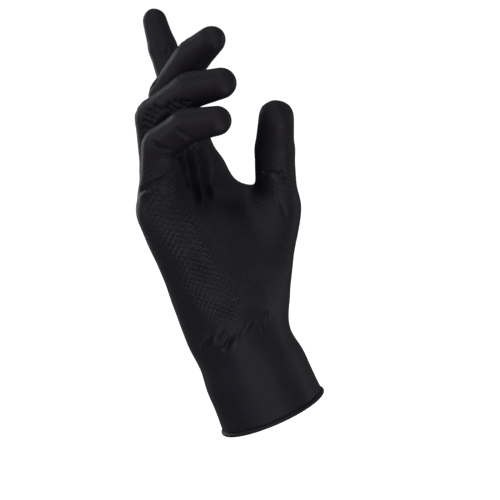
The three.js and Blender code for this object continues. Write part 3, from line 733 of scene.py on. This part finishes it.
start = int(np.flatnonzero(rim == inner_rim[0])[0])
last = np.roll(last, -start)
even, odd, after = last[0::2], last[1::2], np.roll(last, -2)[0::2]
low, high = inner_rim + base, np.roll(inner_rim, -1) + base
bead_faces += [np.stack(part, 1) for part in ((even, low, odd), (odd, low, high), (odd, high, after))]
bead_faces = np.concatenate(bead_faces)
triangles = np.concatenate((faces, inner_faces[:, ::-1] + base, bead_faces))


# Grip texture: where it lies, and cells counted round and along each form
def chain_cells(points, joints, side, radii):
    station = np.zeros(len(points))
    around = np.zeros(len(points))
    nearest = np.full(len(points), np.inf)
    passed = 0.0
    for start, end in zip(joints[:-1], joints[1:]):
        axis = end - start
        length = np.linalg.norm(axis)
        axis = axis / length
        across = unit(side - axis * (side @ axis))
        share, away = along(points, start, end)
        closer = away < nearest
        nearest = np.minimum(nearest, away)
        offset = points - start
        turned = np.arctan2(offset @ across, offset @ np.cross(axis, across))
        station = np.where(closer, passed + share * length, station)
        around = np.where(closer, turned, around)
        passed += length
    return around, station, passed


cell_round = np.arctan2(upper[:, 0] - GRIP_AXIS[0], -(upper[:, 1] - GRIP_AXIS[1]))
palm_cells = np.stack((cell_round, upper[:, 2] / GRIP_PITCH), 1)
digit_cells = palm_cells.copy()
grip = ramp(upper[:, 2], *GRIP_START)
share = own.sum(1)
for k, (joints, side, radii, reach) in enumerate(CHAINS):
    mine = own[:, k] > 0
    around, station, total = chain_cells(upper[mine], joints, side, radii)
    digit_cells[mine] = np.stack((around, station / GRIP_PITCH), 1)
    fade = 1 - ramp(station, total * GRIP_END[0], total * GRIP_END[1])
    grip[mine] *= fade * own[mine, k] + 1 - own[mine, k]
grip *= np.abs(2 * share - 1)
band = np.full(len(upper), np.inf)
for start, end in zip(GRIP_BAND[:-1], GRIP_BAND[1:]):
    band = np.minimum(band, along(upper, np.array(start), np.array(end))[1])
grip *= GRIP_FAINT + (1 - GRIP_FAINT) * (1 - ramp(band, GRIP_BAND_NEAR, GRIP_BAND_FAR))
grip = np.concatenate((grip, np.zeros(len(vertices) - base)))

on_digit = share[faces].mean(1) > 0.5
corner_cells = np.where(on_digit[:, None, None], digit_cells[faces], palm_cells[faces])
turns = corner_cells[:, :, 0]
first = turns[:, :1]
turns = turns + 2 * math.pi * np.round((first - turns) / (2 * math.pi))
cells_round = np.where(on_digit, DIGIT_CELLS_ROUND, PALM_CELLS_ROUND)[:, None]
corner_cells = np.stack((turns / (2 * math.pi) * cells_round, corner_cells[:, :, 1]), 2)
plain = np.zeros((len(triangles) - len(faces), 3, 2))
uv = np.concatenate((corner_cells, plain))

mesh = bpy.data.meshes.new("nitrile_film")
mesh.from_pydata((vertices / 1000).tolist(), [], triangles.tolist())
mesh.update()
layer = mesh.uv_layers.new(name="grip_cells")
layer.data.foreach_set("uv", uv.reshape(-1).astype(np.float32))
attribute = mesh.attributes.new("grip", "FLOAT", "POINT")
attribute.data.foreach_set("value", grip.astype(np.float32))
tips = np.concatenate((ramp(share, 0.5, 1), np.zeros(len(vertices) - base)))
attribute = mesh.attributes.new("digit", "FLOAT", "POINT")
attribute.data.foreach_set("value", tips.astype(np.float32))
mesh.polygons.foreach_set("use_smooth", np.ones(len(triangles), bool))
film = bpy.data.objects.new("nitrile_film", mesh)
bpy.context.scene.collection.objects.link(film)
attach(film, "root")
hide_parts("glove")


# Materials
class Nodes:
    def __init__(self, name):
        self.material = bpy.data.materials.new(name)
        self.material.use_nodes = True
        self.tree = self.material.node_tree
        self.shader = self.tree.nodes["Principled BSDF"]

    def add(self, kind, inputs=None, **settings):
        node = self.tree.nodes.new("ShaderNode" + kind)
        for key, value in settings.items():
            setattr(node, key, value)
        for key, value in (inputs or {}).items():
            self.put(node.inputs[key], value)
        return node

    def put(self, socket, value):
        if isinstance(value, bpy.types.NodeSocket):
            self.tree.links.new(value, socket)
        else:
            socket.default_value = value

    def math(self, operation, *values):
        return self.add("Math", dict(enumerate(values)), operation=operation).outputs[0]

    def mix(self, share, a, b):
        node = self.add("Mix", data_type="RGBA")
        self.put(node.inputs[0], share)
        self.put(node.inputs[6], a)
        self.put(node.inputs[7], b)
        return node.outputs[2]

    def noise(self, vector, scale, detail, roughness):
        inputs = {"Vector": vector, "Scale": scale, "Detail": detail, "Roughness": roughness}
        return self.add("TexNoise", inputs).outputs[0]

    def bump(self, height, strength, distance, below=None):
        inputs = {"Strength": strength, "Distance": distance, "Height": height}
        if below is not None:
            inputs["Normal"] = below
        return self.add("Bump", inputs).outputs[0]


def nitrile():
    made = Nodes("nitrile_rubber")
    place = made.add("TexCoord").outputs["Object"]
    grip_share = made.add("Attribute", attribute_name="grip").outputs["Fac"]
    digit_share = made.add("Attribute", attribute_name="digit").outputs["Fac"]
    cells = made.add("UVMap", uv_map="grip_cells").outputs[0]
    turned = made.add("Mapping", {
        "Vector": cells, "Rotation": (0, 0, math.radians(45)), "Scale": (CELL_SCALE, CELL_SCALE, 1)})
    scales = made.add(
        "TexVoronoi", {"Vector": turned.outputs[0], "Scale": 1.0, "Randomness": CELL_UNEVENNESS},
        voronoi_dimensions="2D", feature="DISTANCE_TO_EDGE")
    ridge = made.math("MULTIPLY_ADD", scales.outputs["Distance"], RIDGE_FALL, 1.0)
    ridge = made.math("MAXIMUM", ridge, 0.0)
    patchy = made.math("MULTIPLY_ADD", made.noise(place, *PATCHY), PATCHY_GAIN, PATCHY_SHIFT)
    raised = made.math("MULTIPLY", made.math("MULTIPLY", ridge, grip_share), patchy)
    relief = made.bump(raised, *GRIP_BUMP)
    relief = made.bump(made.noise(place, *PORES), *PORES_BUMP, relief)
    relief = made.bump(made.noise(place, *SLACK), *SLACK_BUMP, relief)
    made.put(made.shader.inputs["Normal"], relief)
    body = made.mix(made.noise(place, *CLOUDY), FILM_DARK, FILM_LIGHT)
    body = made.mix(made.math("MULTIPLY", digit_share, DIGIT_TINT), body, FILM_ON_DIGITS)
    made.put(made.shader.inputs["Base Color"], body)
    dull = made.math("MULTIPLY_ADD", made.noise(place, *DULL), DULL_GAIN, FILM_ROUGHNESS)
    made.put(made.shader.inputs["Roughness"], made.math("MULTIPLY_ADD", raised, RIDGE_POLISH, dull))
    made.shader.inputs["Specular IOR Level"].default_value = FILM_SPECULAR
    return made.material


mesh.materials.append(nitrile())


# Pale stage
def stage_material():
    made = Nodes("pale_floor")
    place = made.add("TexCoord").outputs["Object"]
    speck = made.noise(place, *FLOOR_SPECK)
    made.put(made.shader.inputs["Base Color"], made.mix(speck, FLOOR_DARK, FLOOR_LIGHT))
    made.shader.inputs["Roughness"].default_value = FLOOR_ROUGHNESS
    made.shader.inputs["Specular IOR Level"].default_value = FLOOR_SPECULAR
    made.shader.inputs["Emission Color"].default_value = (1, 1, 1, 1)
    made.shader.inputs["Emission Strength"].default_value = WHITE_LEVEL
    return made.material


floor_mesh = bpy.data.meshes.new("floor")
corners = ((-1, -1), (1, -1), (1, 1), (-1, 1))
corners = [(x * FLOOR_HALF, y * FLOOR_HALF, FLOOR_LEVEL) for x, y in corners]
floor_mesh.from_pydata(corners, [], [(0, 1, 2, 3)])
floor_mesh.update()
floor_mesh.materials.append(stage_material())
floor = bpy.data.objects.new("floor", floor_mesh)
bpy.context.scene.collection.objects.link(floor)
floor.visible_glossy = False
floor.visible_diffuse = False

# Camera
azimuth = math.radians(CAMERA_AZIMUTH)
elevation = math.radians(CAMERA_ELEVATION)
roll = math.radians(CAMERA_ROLL)
right = Vector((math.cos(azimuth), math.sin(azimuth), 0))
back = Vector((
    math.sin(azimuth) * math.cos(elevation),
    -math.cos(azimuth) * math.cos(elevation),
    math.sin(elevation),
))
up = back.cross(right)
image_right = right * math.cos(roll) + up * math.sin(roll)
image_up = up * math.cos(roll) - right * math.sin(roll)
target = Vector((0, 0, CAMERA_TARGET_HEIGHT))
eye = target + back * CAMERA_DISTANCE
aim = target + image_right * CAMERA_AIM_RIGHT + image_up * CAMERA_AIM_UP
depth_axis = (eye - aim).normalized()
side_axis = image_up.cross(depth_axis).normalized()
up_axis = depth_axis.cross(side_axis)
camera_data = bpy.data.cameras.new("camera")
camera_data.lens = CAMERA_LENS
camera_data.sensor_width = CAMERA_SENSOR
camera_data.clip_end = CAMERA_CLIP_END
camera = bpy.data.objects.new("camera", camera_data)
camera.matrix_world = Matrix((
    (side_axis.x, up_axis.x, depth_axis.x, eye.x),
    (side_axis.y, up_axis.y, depth_axis.y, eye.y),
    (side_axis.z, up_axis.z, depth_axis.z, eye.z),
    (0, 0, 0, 1),
))
bpy.context.scene.collection.objects.link(camera)
bpy.context.scene.camera = camera


# Lights and world
def soft_light(name, direction, distance, size, watts):
    away = (image_right * direction[0] + image_up * direction[1] + back * direction[2]).normalized()
    data = bpy.data.lights.new(name, "AREA")
    data.shape = "RECTANGLE"
    data.size = size[0]
    data.size_y = size[1]
    data.energy = watts
    lamp = bpy.data.objects.new(name, data)
    lamp.location = Vector((0, 0, LIGHT_TARGET_HEIGHT)) + away * distance
    lamp.rotation_euler = away.to_track_quat("Z", "Y").to_euler()
    bpy.context.scene.collection.objects.link(lamp)


for light in LIGHTS:
    soft_light(*light)

world = bpy.data.worlds.new("studio")
world.use_nodes = True
world.node_tree.nodes["Background"].inputs[0].default_value = (1, 1, 1, 1)
path = world.node_tree.nodes.new("ShaderNodeLightPath")
level = world.node_tree.nodes.new("ShaderNodeMix")
level.inputs[2].default_value = FILL_LEVEL
level.inputs[3].default_value = WHITE_LEVEL
world.node_tree.links.new(path.outputs["Is Camera Ray"], level.inputs[0])
world.node_tree.links.new(level.outputs[0], world.node_tree.nodes["Background"].inputs[1])
bpy.context.scene.world = world
bpy.context.scene.view_settings.view_transform = "Standard"
